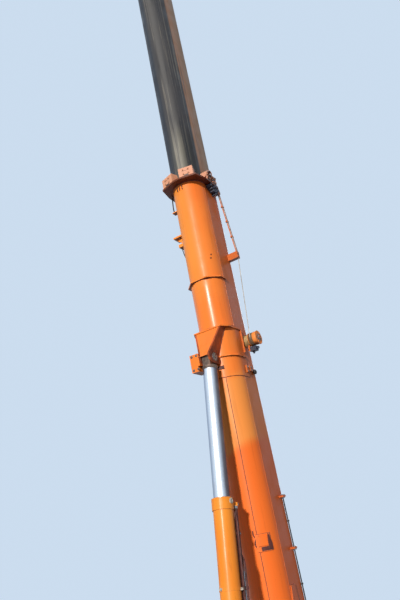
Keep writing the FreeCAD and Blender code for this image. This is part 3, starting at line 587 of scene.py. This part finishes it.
class Shape:
    """The mesh of one piece."""

    def __init__(self):
        self.mesh = bmesh.new()

    def skin(self, rings, closed=False):
        """Skin over rings of points: closed on itself, or with flat ends."""
        rows = [[self.mesh.verts.new(point) for point in ring] for ring in rings]
        pairs = list(zip(rows, rows[1:]))
        if closed:
            pairs.append((rows[-1], rows[0]))
        else:
            self.mesh.faces.new(rows[0])
            self.mesh.faces.new(rows[-1])
        for low, high in pairs:
            for i in range(len(low)):
                self.mesh.faces.new((low[i - 1], low[i], high[i], high[i - 1]))

    def lathe(self, at, out, profile, sides=24, hollow=False):
        """Round shape about an axis; the profile holds distances along it and radii."""
        out = Vector(out).normalized()
        side = out.orthogonal().normalized()
        other = out.cross(side)
        spokes = [side * math.cos(a) + other * math.sin(a) for a in turns_of(sides)]
        rows = [(Vector(at) + out * along, radius) for along, radius in profile]
        self.skin([[middle + spoke * radius for spoke in spokes] for middle, radius in rows], hollow)

    def bolt(self, at, out, size):
        """Hexagon head on a washer, with the end of its shank."""
        washer = ((-0.2, 1.3), (0.18, 1.3), (0.22, 1.22))
        head = ((0.1, 1.0), (0.78, 1.0), (0.88, 0.86))
        shank = ((0.5, 0.52), (1.05, 0.52), (1.12, 0.42))
        for profile, sides in ((washer, 20), (head, 6), (shank, 14)):
            self.lathe(at, out, [(along * size, radius * size) for along, radius in profile], sides)

    def bolt_ring(self, at, side, radius, size, turns):
        """Bolts round a place, on a face that looks to one side, at the angles turns."""
        x, y, z = at
        for a in turns:
            self.bolt((x + radius * math.cos(a), y, z + radius * math.sin(a)), (0, side, 0), size)

    def tube(self, path, radius, sides=10, ripple=0.0):
        """Round bar along a path; ripple makes it swell and shrink, as a weld bead does."""
        points = [Vector(point) for point in path]
        side = None
        rings = []
        for i, point in enumerate(points):
            ahead = (points[min(i + 1, len(points) - 1)] - points[max(i - 1, 0)]).normalized()
            side = ahead.orthogonal() if side is None else side - ahead * side.dot(ahead)
            side.normalize()
            other = ahead.cross(side)
            size = radius * (1.0 + ripple * math.sin(2.3 * i) + 0.5 * ripple * math.sin(0.71 * i))
            spokes = [side * math.cos(a) + other * math.sin(a) for a in turns_of(sides)]
            rings.append([point + spoke * size for spoke in spokes])
        self.skin(rings)

    def weld(self, path, radius, ripple=0.14):
        """Weld bead along a path."""
        self.tube(path, radius, WELD_SIDES, ripple)

    def slab(self, corners, sweep):
        """Flat plate: an outline pushed along sweep."""
        low = [Vector(corner) for corner in corners]
        self.skin([low, [corner + Vector(sweep) for corner in low]])

    def strip(self, low, half, width, sweep):
        """Flat plate by the middle of its low side, half of that side and its width along x."""
        wide = Vector((width, 0, 0))
        self.slab((low - half, low + half, low + half + wide, low - half + wide), sweep)

    def box(self, low, high):
        """Block between two corners."""
        (x0, y0, z0), (x1, y1, z1) = low, high
        self.slab(((x0, y0, z0), (x1, y0, z0), (x1, y1, z0), (x0, y1, z0)), (0, 0, z1 - z0))

    def done(self, name, body, slot, finish=None, bevel=0.0):
        """Makes the mesh a piece that rides on a body; the finish is the slot's if none is given."""
        bmesh.ops.recalc_face_normals(self.mesh, faces=self.mesh.faces)
        self.mesh.transform(BOOM)
        mesh = bpy.data.meshes.new(name)
        self.mesh.to_mesh(mesh)
        self.mesh.free()
        mesh.shade_smooth()
        mesh.set_sharp_from_angle(angle=SHARP)
        mesh.materials.append(finish or FINISHES[slot])
        piece = bpy.data.objects.new(name, mesh)
        bpy.context.scene.collection.objects.link(piece)
        if bevel:
            rounding = piece.modifiers.new("edges", "BEVEL")
            rounding.width = bevel
            rounding.segments = 2
            rounding.limit_method = "ANGLE"
            rounding.angle_limit = SHARP
        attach(piece, body)


def straight(start, end, step):
    """Points from start to end, about one step apart."""
    start, end = Vector(start), Vector(end)
    count = max(1, round((end - start).length / step))
    return [start.lerp(end, i / count) for i in range(count + 1)]


def through(points, per=8):
    """Smooth path through points."""
    points = [Vector(point) for point in points]
    padded = [points[0] * 2 - points[1]] + points + [points[-1] * 2 - points[-2]]
    path = []
    for a, b, c, d in zip(padded, padded[1:], padded[2:], padded[3:]):
        for i in range(per):
            t = i / per
            path.append(0.5 * (2 * b + (c - a) * t + (2 * a - 5 * b + 4 * c - d) * t ** 2
                               + (3 * b - a - 3 * c + d) * t ** 3))
    return path + [points[-1]]


def round_place(x, degrees, radius):
    """Place on the half-round bottom, by its angle from the keel towards +y."""
    turn = math.radians(degrees)
    return Vector((x, radius * math.sin(turn), -radius * math.cos(turn)))


def arc(x, start, end, radius, step=0.012):
    """Path round the bottom at x."""
    count = max(2, round(math.radians(abs(end - start)) * radius / step))
    return [round_place(x, start + (end - start) * i / count, radius) for i in range(count + 1)]


def on_cylinder(along, turn, radius):
    """Place on the lift cylinder: distance below the pin, turn from its boom side towards +y, radius."""
    axis = Vector((-math.cos(CYLINDER_LEAN), 0, -math.sin(CYLINDER_LEAN)))
    up = Vector((-math.sin(CYLINDER_LEAN), 0, math.cos(CYLINDER_LEAN)))
    turn = math.radians(turn)
    return PIN + axis * along + (up * math.cos(turn) + Vector((0, math.sin(turn), 0))) * radius


def from_cylinder(turn):
    """Direction away from the lift cylinder's axis, for a turn as in on_cylinder."""
    return on_cylinder(0, turn, 1) - PIN


# Keel radius of the base section, and half widths, tops and flange rises from the base section outwards. The
# corners of a flange's right half run up from the keel, as shares of half width and rise for y, and of half
# width, top and rise for z. A pad holder has its side of the flange, and where it starts and ends along it.
KEEL = 0.30
HALF_WIDTHS = (0.300, 0.284, 0.269)
TOPS = (0.442, 0.426, 0.411)
FLANGE_RISES = (0.110, 0.070)
FLANGE_CORNERS = ((0.2, 0.0, -1.0, 0.0, -1.25), (1.0, 0.5, -1.0, 0.0, -0.45), (1.0, 1.0, -0.2, 0.0, 0.0),
                  (1.0, 1.0, 0.0, 1.0, -1.0), (1.0, 0.3, 0.0, 1.0, 1.0), (0.0, 0.0, 0.0, 1.0, 1.0))
HOLDERS = ((0, 0.05, 0.90), (2, 0.10, 0.42), (2, 0.58, 0.92), (4, 0.25, 0.80))


def flange_corner(level, index):
    """Corner of a collar's flange, seen along the boom."""
    half, top, rise = HALF_WIDTHS[level], TOPS[level], FLANGE_RISES[level]
    y_half, y_rise, z_half, z_top, z_rise = FLANGE_CORNERS[index]
    return Vector((0, half * y_half + rise * y_rise, half * z_half + top * z_top + rise * z_rise))


def collar_details(level, front, body, name, bolt_slot, plate_slot):
    """Adjusting bolts on lock plates, and thin dark strips at the mouths of the pads' slots, painted shade of
    the openings, on a collar's holders.
    """
    bolts, plates, slots = Shape(), Shape(), Shape()
    plate_wide, plate_thick, slot_wide = 0.044, 0.005, 0.018
    for index, start, end in HOLDERS:
        low, high = flange_corner(level, index), flange_corner(level, index + 1)
        along = high - low
        for mirror in (1, -1):
            flip = Vector((1, mirror, 1))
            run = along * flip
            out = Vector((0, along.z * mirror, -along.y)).normalized()
            middle = (low + along * (start + end) / 2) * flip
            side = run.normalized() * min(0.045, run.length * (end - start) * 0.3)
            grow = side + side.normalized() * (plate_wide / 2)
            for x in (front + 0.045, front + 0.125):
                for reach in (side, -side):
                    bolts.bolt(Vector((x, 0, 0)) + middle + reach + out * plate_thick, out, 0.013)
                plates.strip(Vector((x - plate_wide / 2, 0, 0)) + middle, grow, plate_wide, out * plate_thick)
            # Painted shade: a thin dark strip at the mouth of each pad's slot.
            slots.strip(Vector((front + 0.002, 0, 0)) + middle, side, slot_wide, out * 0.002)
    bolts.done(name + "_bolts", body, bolt_slot)
    plates.done(name + "_plates", body, plate_slot, bevel=0.0015)
    slots.done(name + "_slots", body, "sheave_nylon")


def collar_caps():
    """Dark fittings below the right side of the base's collar, the hook on it, and lugs under the flange."""
    caps, hook, lugs = Shape(), Shape(), Shape()
    caps.box((7.28, 0.318, 0.16), (7.415, 0.392, 0.31))
    for x, y, z, radius, length in (
            (7.385, 0.352, 0.10, 0.030, 0.050), (7.37, 0.392, 0.20, 0.032, 0.044),
            (7.32, 0.392, 0.27, 0.028, 0.040), (7.34, 0.352, 0.14, 0.022, 0.036),
            (7.26, 0.352, 0.25, 0.020, 0.030)):
        collar = radius * 1.2
        caps.lathe((x, y - 0.05, z), (0, 1, 0), (
            (0, collar), (0.056, collar), (0.058, radius), (0.05 + length, radius),
            (0.058 + length, radius * 0.7)), 6)
    for x, z in ((7.50, 0.02), (7.56, 0.10), (7.50, 0.19), (7.58, 0.27)):
        caps.bolt((x, 0.410, z), (0, 1, 0), 0.020)
    caps.done("collar_caps", "base_section", "sheave_nylon", NAVY, bevel=0.002)
    hook.tube(through((
        (7.43, 0.40, -0.085), (7.47, 0.44, -0.115), (7.53, 0.447, -0.10), (7.60, 0.444, -0.01),
        (7.63, 0.44, 0.055), (7.60, 0.436, 0.115), (7.53, 0.40, 0.13))), 0.013, 12)
    hook.done("collar_hook", "base_section", "boom_orange")
    ring = [(7.60 + 0.034 * math.cos(a), 0.440, 0.020 + 0.034 * math.sin(a)) for a in turns_of(24, True)]
    lugs.tube(ring, 0.010, 8)
    outline = ((-1.3, 0.297), (1.3, 0.297), (1.3, 0.312), (-1.3, 0.312))
    for turn in (-16.0, -6.0, 4.0):
        lugs.slab([round_place(7.29, turn + wide, radius) for wide, radius in outline], (0.085, 0, 0))
    lugs.done("collar_lugs", "base_section", "pin_steel", MAROON, bevel=0.002)


def base_seams():
    """Weld beads on the base section."""
    beads, painted = Shape(), Shape()
    for side in (1, -1):
        seam = straight((0.30, side * KEEL, 0.0), (7.41, side * KEEL, 0.0), WELD_STEP)
        painted.weld(seam, 0.0045, 0.12)
    painted.done("base_seams", "base_section", "boom_orange")
    beads.weld(straight(round_place(0.50, 22, KEEL), round_place(3.83, 24, KEEL), WELD_STEP), 0.005, 0.15)
    for x, turn, radius, size in (
            (3.84, 88, 0.305, 0.006), (4.66, 88, 0.305, 0.006), (5.508, 80, 0.302, 0.006),
            (5.532, 80, 0.302, 0.006), (7.412, 88, 0.302, 0.009)):
        beads.weld(arc(x, -turn, turn, radius), size)
    for x in (1.38, 1.60):
        beads.weld(arc(x, 18, 57, 0.303), 0.005)
    for turn in (18, 57):
        beads.weld(straight(round_place(1.38, turn, 0.303), round_place(1.60, turn, 0.303), WELD_STEP), 0.005)
    outline = ((0.90, 0.04), (0.90, 0.15), (-0.25, 0.33))
    for side in (1, -1):
        points = [(x, side * 0.301, z) for x, z in outline]
        for start, end in zip(points, points[1:]):
            beads.weld(straight(start, end, WELD_STEP), 0.006)
        ring = [(0.121 * math.cos(a), side * 0.317, 0.121 * math.sin(a)) for a in turns_of(72, True)]
        beads.weld(ring, 0.007)
    beads.done("base_welds", "base_section", "boom_orange", WELD)


def saddle_details():
    """Welds of the saddle, bolts of the pin keeper, grease nipples and the pin's end plates."""
    beads, steel, plates = Shape(), Shape(), Shape()
    for side in (1, -1):
        beads.weld(straight((4.06, side * 0.098, -0.295), (4.20, side * 0.098, -0.295), WELD_STEP), 0.007)
        foot = []
        for i in range(41):
            x = 4.20 + 0.42 * i / 40
            y = 0.098 + 0.14 * i / 40
            foot.append((x, side * y, -math.sqrt(0.311 ** 2 - y ** 2)))
        beads.weld(foot, 0.008)
        beads.weld(straight((4.19, side * 0.067, -0.592), (4.61, side * 0.205, -0.352), WELD_STEP), 0.005)
    beads.done("saddle_welds", "base_section", "boom_orange", WELD)
    for x in (3.995, 4.205):
        for y in (-0.130, -0.215):
            steel.bolt((x, y, -0.605), (0, 0, -1), 0.016)
    for x, z in ((4.00, -0.40), (4.00, -0.56), (4.20, -0.40), (4.20, -0.56)):
        steel.bolt((x, -0.250, z), (0, -1, 0), 0.015)
    for y, out in ((-0.256, -1), (0.102, 1)):
        plates.slab(((4.075, y, -0.475), (4.205, y, -0.475), (4.205, y, -0.431), (4.075, y, -0.431)),
                    (0, out * 0.008, 0))
        face = y + out * 0.008
        for x in (4.10, 4.18):
            steel.bolt((x, face, PIN.z), (0, out, 0), 0.011)
        steel.lathe((PIN.x, face, PIN.z), (0, out, 0),
                    ((0, 0.009), (0.006, 0.009), (0.010, 0.005), (0.018, 0.006)), 12)
    plates.done("pin_plates", "base_section", "pin_steel", FINISHES["eye_grey"], bevel=0.0015)
    steel.done("saddle_bolts", "base_section", "pin_steel", FINISHES["eye_grey"])


def wall_details():
    """Lines, clips and fittings on the outside of the base section."""
    rubber, steel, paint, marks = Shape(), Shape(), Shape(), Shape()
    line = ((-0.20, 0.312, 0.400), (0.65, 0.312, 0.400), (1.30, 0.314, 0.396), (1.99, 0.316, 0.386),
            (2.02, 0.330, 0.340))
    rubber.tube(through(line, 10), 0.009, 10)
    for x in (0.30, 0.85, 1.68):
        rubber.slab([(x, y, z) for y, z in ((0.296, 0.372), (0.326, 0.380), (0.326, 0.412), (0.290, 0.424))],
                    (0.020, 0, 0))
    for x, z in ((1.332, 0.310), (1.332, 0.355), (2.032, 0.310), (2.032, 0.355)):
        steel.lathe((x, 0.355, z), (-1, 0, 0), ((-0.024, 0.016), (0.024, 0.016), (0.028, 0.012)), 6)
    steel.lathe((3.938, 0.298, 0.350), (0, 1, 0), ((0, 0.020), (0.012, 0.020), (0.014, 0.014)), 6)
    rubber.lathe((3.938, 0.305, 0.350), (0, 1, 0), (
        (0, 0.024), (0.010, 0.036), (0.028, 0.040), (0.042, 0.032), (0.048, 0.016)), 24)
    for x, z in ((3.955, 0.205), (3.995, 0.205), (3.955, 0.240), (3.995, 0.240)):
        steel.bolt((x, 0.340, z), (0, 1, 0), 0.009)
    paint.slab(((3.90, 0.310, 0.085), (4.02, 0.310, 0.085), (4.02, 0.310, 0.150), (3.90, 0.310, 0.150)),
               (0, 0.024, 0))
    for x in (3.925, 3.995):
        steel.bolt((x, 0.334, 0.118), (0, 1, 0), 0.011)
    rubber.tube(through((
        (7.415, -0.330, -0.055), (7.37, -0.352, -0.060), (7.24, -0.356, -0.075), (7.13, -0.350, -0.090),
        (7.06, -0.345, -0.080))), 0.011, 8)
    for y in (-0.41, -0.34):
        for z in (-0.08, 0.0):
            steel.bolt((6.540, y, z), (-1, 0, 0), 0.011)
    for z in (-0.08, -0.01):
        steel.bolt((6.38, -0.370, z), (0, -1, 0), 0.011)
    rubber.tube(through((
        (6.36, -0.345, -0.05), (6.33, -0.338, -0.06), (6.22, -0.325, -0.055), (6.10, -0.308, -0.03),
        (6.00, -0.307, -0.02), (5.56, -0.307, 0.0))), 0.008, 8)
    for curl in (((1.657, 14.1), (1.607, 13.3), (1.568, 17.0), (1.559, 24.0), (1.594, 27.1)),
                 ((1.540, 21.0), (1.539, 17.5), (1.504, 14.5), (1.453, 15.5), (1.432, 22.0), (1.485, 23.5))):
        marks.tube(through([round_place(x, turn, 0.307) for x, turn in curl]), 0.0075, 8)
    lug = [round_place(4.03, turn, 0.299) for turn in (6.0, 10.0, 22.0, 25.0)]
    swell, back = Vector((1, 1.10, 1.10)), Vector((-0.02, 0, 0))
    for low, high in zip(lug, lug[1:]):
        marks.slab((low, high, high * swell + back, low * swell + back), (-0.040, 0, 0))
    for x, turn in ((5.934, 55), (5.868, 52)):
        marks.lathe(round_place(x, turn, 0.299), round_place(0, turn, 1.0),
                    ((0, 0.012), (0.008, 0.012), (0.011, 0.008)), 12)
    marks.done("belly_marks", "base_section", "boom_orange", MAROON)
    rubber.done("wall_lines", "base_section", "sheave_nylon", RUBBER)
    steel.done("wall_fittings", "base_section", "pin_steel")
    paint.done("wall_block", "base_section", "boom_orange", bevel=0.002)


def belly_details():
    """Dark strip along two edges of the belly pad, painted shadow of the pad, and the cover inside it."""
    strip, cover = Shape(), Shape()
    steps = 8
    # Each part's rows: x, and the degrees from the keel where it starts and ends
    for rows in (((1.592, 49.5, 51.5), (1.540, 48.8, 55.0), (1.470, 48.0, 58.0), (1.388, 47.0, 58.0)),
                 ((1.438, 28.5, 48.0), (1.420, 28.0, 49.0), (1.388, 28.5, 49.0))):
        rings = []
        for i in range(steps + 1):
            share = i / steps
            edge = [(x, first + (last - first) * share) for x, first, last in rows]
            rings.append([round_place(x, turn, 0.320) for x, turn in edge]
                         + [round_place(x, turn, 0.299) for x, turn in reversed(edge)])
        strip.skin(rings)
    strip.done("belly_strip", "base_section", "boom_orange", MAROON)
    profile = ((1.575, 0.312), (1.570, 0.326), (1.450, 0.326), (1.445, 0.312))
    cover.skin([[round_place(x, 23.0 + 3.0 * i, radius) for x, radius in profile] for i in range(steps + 1)])
    cover.done("belly_cover", "base_section", "boom_orange", bevel=0.003)


def bar_details():
    """Cable along the guide bar and down to the reel, held by clips."""
    cable, clips = Shape(), Shape()
    points = [(7.40, 0.365, 0.370), (6.75, 0.425, 0.372), (6.06, 0.478, 0.374), (5.97, 0.480, 0.366),
              (4.46, 0.446, 0.192)]
    path = []
    for start, end in zip(points, points[1:]):
        path += straight(start, end, 0.1)[:-1]
    cable.tube(path + [Vector(points[-1])], 0.0065, 8)
    for share in (0.08, 0.30, 0.52, 0.74, 0.94):
        at = Vector((5.95, 0.462, 0.386)).lerp(Vector((7.415, 0.340, 0.386)), share)
        clips.box((at.x - 0.012, at.y - 0.004, 0.358), (at.x + 0.012, at.y + 0.034, 0.418))
    for x, z in ((5.98, 0.345), (6.04, 0.345)):
        clips.bolt((x, 0.490, z), (0, 1, 0), 0.012)
    cable.done("bar_cable", "base_section", "sheave_nylon", PALE)
    clips.done("bar_clips", "base_section", "boom_orange", bevel=0.0015)


def reel_details():
    """Cable wound on the reel, ribs and bolts on its flange, and the dark plug box beside it."""
    turns, steel, box = Shape(), Shape(), Shape()
    path = []
    per_turn = 20
    for radius, start, end in ((0.0785, 0.415, 0.535), (0.0915, 0.535, 0.415), (0.1035, 0.415, 0.475)):
        count = round(abs(end - start) / 0.0125) * per_turn
        for i in range(count):
            a = 2 * math.pi * i / per_turn
            path.append((REEL_X + radius * math.cos(a), start + (end - start) * i / count,
                         REEL_Z + radius * math.sin(a)))
    turns.tube(path, 0.0065, 6)
    steel.bolt_ring((REEL_X, 0.550, REEL_Z), 1, 0.055, 0.009, turns_of(6))
    face = Vector((REEL_X, 0.549, REEL_Z))
    for a in turns_of(6):
        ray = Vector((math.cos(a + 0.5), 0, math.sin(a + 0.5)))
        across = Vector((-ray.z, 0, ray.x)) * 0.006
        root, tip = face + ray * 0.070, face + ray * 0.109
        box.slab((root - across, root + across, tip + across, tip - across), (0, 0.008, 0))
    box.lathe((REEL_X, 0.478, REEL_Z), (0, 1, 0), (
        (0, 0.076), (0, 0.108), (0.004, 0.1105), (0.060, 0.1105), (0.064, 0.108), (0.064, 0.076)), 48, True)
    box.done("reel_ribs", "reel", "reel_orange", bevel=0.002)
    turns.done("reel_cable", "reel", "sheave_nylon", JACKET)
    steel.lathe(face, (0, 1, 0), ((0, 0.040), (0.008, 0.040), (0.012, 0.034)), 24)
    steel.done("reel_bolts", "reel", "pin_steel")
    plug, cap = Shape(), Shape()
    plug.box((4.252, 0.375, 0.252), (4.327, 0.482, 0.348))
    plug.lathe((4.295, 0.482, 0.305), (0, 1, 0),
               ((0, 0.026), (0.016, 0.026), (0.020, 0.020), (0.034, 0.020)), 20)
    plug.lathe((4.262, 0.412, 0.305), (-1, 0, 0), ((0, 0.018), (0.030, 0.018), (0.044, 0.012)), 16)
    plug.done("reel_plug", "base_section", "sheave_nylon", NAVY, bevel=0.003)
    cap.lathe((REEL_X, 0.302, REEL_Z), (0, 1, 0), (
        (0, 0.096), (0.002, 0.102), (0.020, 0.102), (0.024, 0.098), (0.026, 0.094), (0.060, 0.094),
        (0.064, 0.100), (0.088, 0.100), (0.092, 0.096)), 48)
    cap.bolt_ring((REEL_X, 0.320, REEL_Z), 1, 0.086, 0.007, [a + math.pi / 8 for a in turns_of(8)])
    cap.done("housing_rims", "base_section", "housing_khaki")


def cylinder_details():
    """Wiper, bolts and fittings of the lift cylinder."""
    seal, steel, white = Shape(), Shape(), Shape()
    axis = on_cylinder(1, 0, 0) - PIN
    seal.lathe(on_cylinder(2.044, 0, 0), axis, (
        (0, 0.1146), (0, 0.124), (0.007, 0.128), (0.007, 0.1146)), 64, True)
    for i in range(12):
        steel.bolt(on_cylinder(2.051, 30 * i + 15, 0.1335), -axis, 0.008)
    steel.lathe(on_cylinder(2.126, 45, 0.200), from_cylinder(45),
                ((0, 0.018), (0.012, 0.018), (0.014, 0.015)), 6)
    steel.lathe(on_cylinder(2.150, 45, 0.172), axis, ((0, 0.034), (0.030, 0.034), (0.034, 0.029)), 6)
    white.lathe(on_cylinder(2.10, 97, 0.140), from_cylinder(97), (
        (0, 0.036), (0.014, 0.036), (0.018, 0.030), (0.018, 0.018), (0.010, 0.016)), 24)
    for place in (2.471, 3.101, 3.731, 4.331):
        for turn in (35.5, 54.5):
            steel.bolt(on_cylinder(place + 0.020, turn, 0.193), from_cylinder(turn), 0.006)
    for turn in (66, 78):
        white.lathe(on_cylinder(3.13, turn, 0.133), from_cylinder(turn), (
            (0, 0.018), (0.020, 0.018), (0.024, 0.014), (0.036, 0.014)), 6)
    white.lathe(on_cylinder(3.12, -160, 0.133), from_cylinder(-160), (
        (0, 0.020), (0.022, 0.020), (0.026, 0.014), (0.034, 0.014)), 6)
    white.done("barrel_fittings", "cylinder_barrel", "rod_chrome", PALE)
    band, hoses, bushing = Shape(), Shape(), Shape()
    for place in (3.10, 4.50):
        band.lathe(on_cylinder(place, 0, 0), axis, (
            (0, 0.1335), (0, 0.139), (0.045, 0.139), (0.045, 0.1335)), 64, True)
    band.done("barrel_bands", "cylinder_barrel", "boom_orange", AMBER, bevel=0.001)
    seal.done("rod_wiper", "cylinder_barrel", "sheave_nylon", RUBBER)
    steel.done("cylinder_bolts", "cylinder_barrel", "pin_steel")
    # Hoses and clamps are dark maroon, painted shade; the hose at 47 degrees fills the dark gap beside the
    # barrel as painted shade.
    # Hoses: turn, distance from the axis, radius, and where they start along the cylinder and from the axis
    for turn, radius, size, first, inner in ((22, 0.166, 0.013, 2.24, 0.150), (64, 0.170, 0.011, 2.24, 0.150),
                                             (47, 0.212, 0.016, 2.75, 0.186)):
        ends = ((first, inner), (first + 0.10, radius), (first + 0.35, radius), (4.20, radius), (4.40, 0.150))
        hoses.tube(through([on_cylinder(along, turn, out) for along, out in ends], 10), size, 8)
    for place in (3.101, 3.731):
        hoses.lathe(on_cylinder(place, 47, 0.212), axis, (
            (0, 0.016), (0, 0.022), (0.040, 0.022), (0.040, 0.016)), 16, True)
    hoses.done("barrel_lines", "cylinder_barrel", "sheave_nylon", MAROON)
    middle = on_cylinder(FOOT_EYE, 0, 0)
    for side in (1, -1):
        bushing.lathe((middle.x, side * 0.09, middle.z), (0, side, 0), (
            (-0.004, 0.061), (-0.004, 0.084), (0.006, 0.084), (0.006, 0.061)), 40, True)
    bushing.done("foot_bushing", "cylinder_barrel", "pin_steel")


def foot_details():
    """Bushings of the foot pivot, with bolts round them and on the tail frame."""
    steel = Shape()
    for side in (1, -1):
        steel.lathe((0, side * 0.360, 0), (0, side, 0), (
            (-0.004, 0.0605), (-0.004, 0.095), (0.006, 0.095), (0.006, 0.0605)), 48, True)
        steel.bolt_ring((0, side * 0.360, 0), side, 0.105, 0.007, turns_of(8))
        for x, z in ((0.30, 0.02), (0.62, 0.08), (-0.18, 0.20), (-0.18, 0.02)):
            steel.bolt((x, side * 0.316, z), (0, side, 0), 0.012)
    steel.done("foot_bolts", "base_section", "pin_steel")


def head_details():
    """Shaft end plates, rope guards and hubs of the boom head."""
    steel, guards = Shape(), Shape()
    shafts = ((HEAD_START + 0.43, -0.17), (HEAD_START + 0.06, 0.65))
    for x, z in shafts:
        for side in (1, -1):
            steel.lathe((x, side * 0.303, z), (0, side, 0), ((0, 0.043), (0.006, 0.043), (0.009, 0.036)), 32)
            steel.bolt_ring((x, side * 0.311, z), side, 0.026, 0.006, (0.6, 2.2, 3.8, 5.4))
            steel.slab([(x + dx, side * 0.291, z + dz)
                        for dx, dz in ((-0.075, 0.056), (0.075, 0.056), (0.075, 0.082), (-0.075, 0.082))],
                       (0, side * 0.012, 0))
            for dx in (-0.055, 0.055):
                steel.bolt((x + dx, side * 0.303, z + 0.069), (0, side, 0), 0.009)
    for past, z in ((0.570, 0.030), (0.565, -0.185), (0.285, -0.325), (0.30, 0.72), (-0.07, 0.745)):
        guards.lathe((HEAD_START + past, -0.262, z), (0, 1, 0), ((0, 0.016), (0.524, 0.016)), 20)
        for side in (1, -1):
            guards.lathe((HEAD_START + past, side * 0.262, z), (0, side, 0), ((0, 0.028), (0.007, 0.028)), 20)
    steel.done("shaft_plates", "tip_section", "pin_steel", bevel=0.001)
    guards.done("rope_guards", "tip_section", "pin_steel")
    lower, upper = shafts
    boss = ((-0.003, 0.052), (-0.003, 0.090), (0.007, 0.090), (0.010, 0.084), (0.010, 0.052))
    rim = ((-0.003, 0.188), (-0.003, 0.214), (0.005, 0.210), (0.005, 0.192))
    for name, (x, z), y in (("lower_sheave_1", lower, -0.13), ("lower_sheave_2", lower, 0.0),
                            ("lower_sheave_3", lower, 0.13), ("upper_sheave_1", upper, 0.0)):
        hub = Shape()
        for side in (1, -1):
            for profile, sides in ((boss, 40), (rim, 48)):
                hub.lathe((x, y + side * 0.031, z), (0, side, 0), profile, sides, True)
        hub.done(name + "_hub", name, "sheave_nylon")


collar_details(0, BASE_FRONT, "base_section", "base_collar", "boom_orange", "boom_orange")
collar_details(1, MIDDLE_FRONT, "middle_section", "middle_collar", "pin_steel", "section_grey")
collar_caps()
base_seams()
saddle_details()
wall_details()
belly_details()
bar_details()
reel_details()
cylinder_details()
foot_details()
head_details()

bpy.context.scene.view_settings.view_transform = "Standard"
